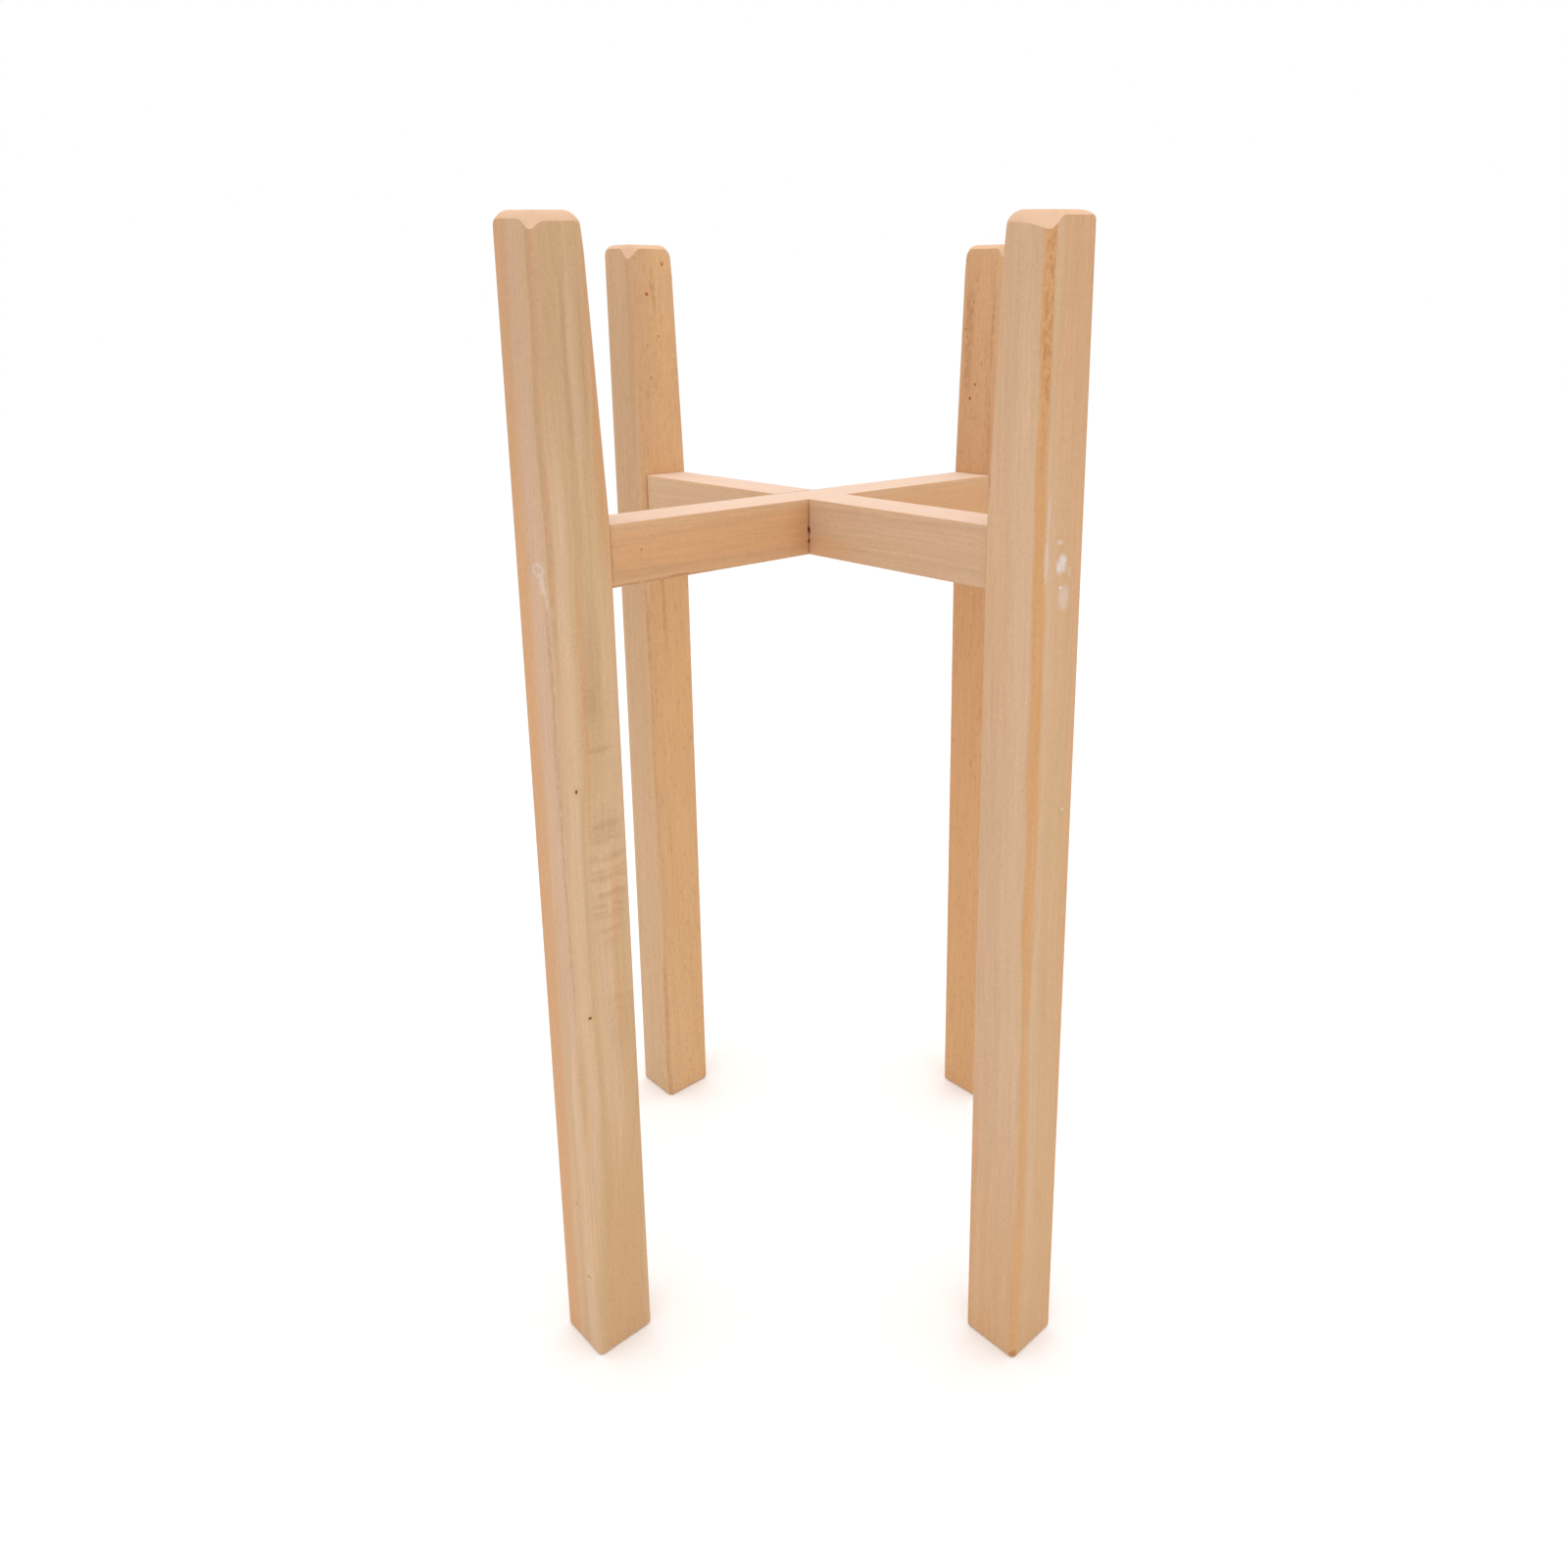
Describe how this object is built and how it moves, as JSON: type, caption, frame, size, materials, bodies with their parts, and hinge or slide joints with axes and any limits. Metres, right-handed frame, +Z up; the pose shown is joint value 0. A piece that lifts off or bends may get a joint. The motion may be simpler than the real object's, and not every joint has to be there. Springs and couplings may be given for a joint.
{
  "type": "plant stand",
  "caption": "Wooden plant stand: upright legs round a half-lapped cross of rails that carries a pot between the legs' tapered upper ends.",
  "frame": {"origin": "on the floor, under the middle of the cross", "axes": "+Z up along the legs; the under rail lies along X with the front right leg at +X, and the over rail along Y with the back right leg at +Y"},
  "size_m": [0.396, 0.396, 0.675],
  "materials": {
    "leg_wood": "sanded, unfinished",
    "rail_wood": "sanded, unfinished",
    "dowel_wood": "turned, unfinished",
    "filler": "dry wood filler",
    "screw_steel": "zinc plated"
  },
  "bodies": {
    "root": {"leg_front_right": "leg_wood", "leg_back_right": "leg_wood", "leg_back_left": "leg_wood", "leg_front_left": "leg_wood", "under_rail": "rail_wood", "over_rail": "rail_wood", "screw_front_right": "screw_steel", "screw_back_right": "screw_steel", "screw_back_left": "screw_steel", "screw_front_left": "screw_steel", "filler_front_right": "filler", "filler_back_right": "filler", "filler_back_left": "filler", "filler_front_left": "filler", "dowel_lower_front_right": "dowel_wood", "dowel_lower_back_right": "dowel_wood", "dowel_lower_back_left": "dowel_wood", "dowel_lower_front_left": "dowel_wood", "dowel_upper_front_right": "dowel_wood", "dowel_upper_back_right": "dowel_wood", "dowel_upper_back_left": "dowel_wood", "dowel_upper_front_left": "dowel_wood"}
  },
  "joints": []
}
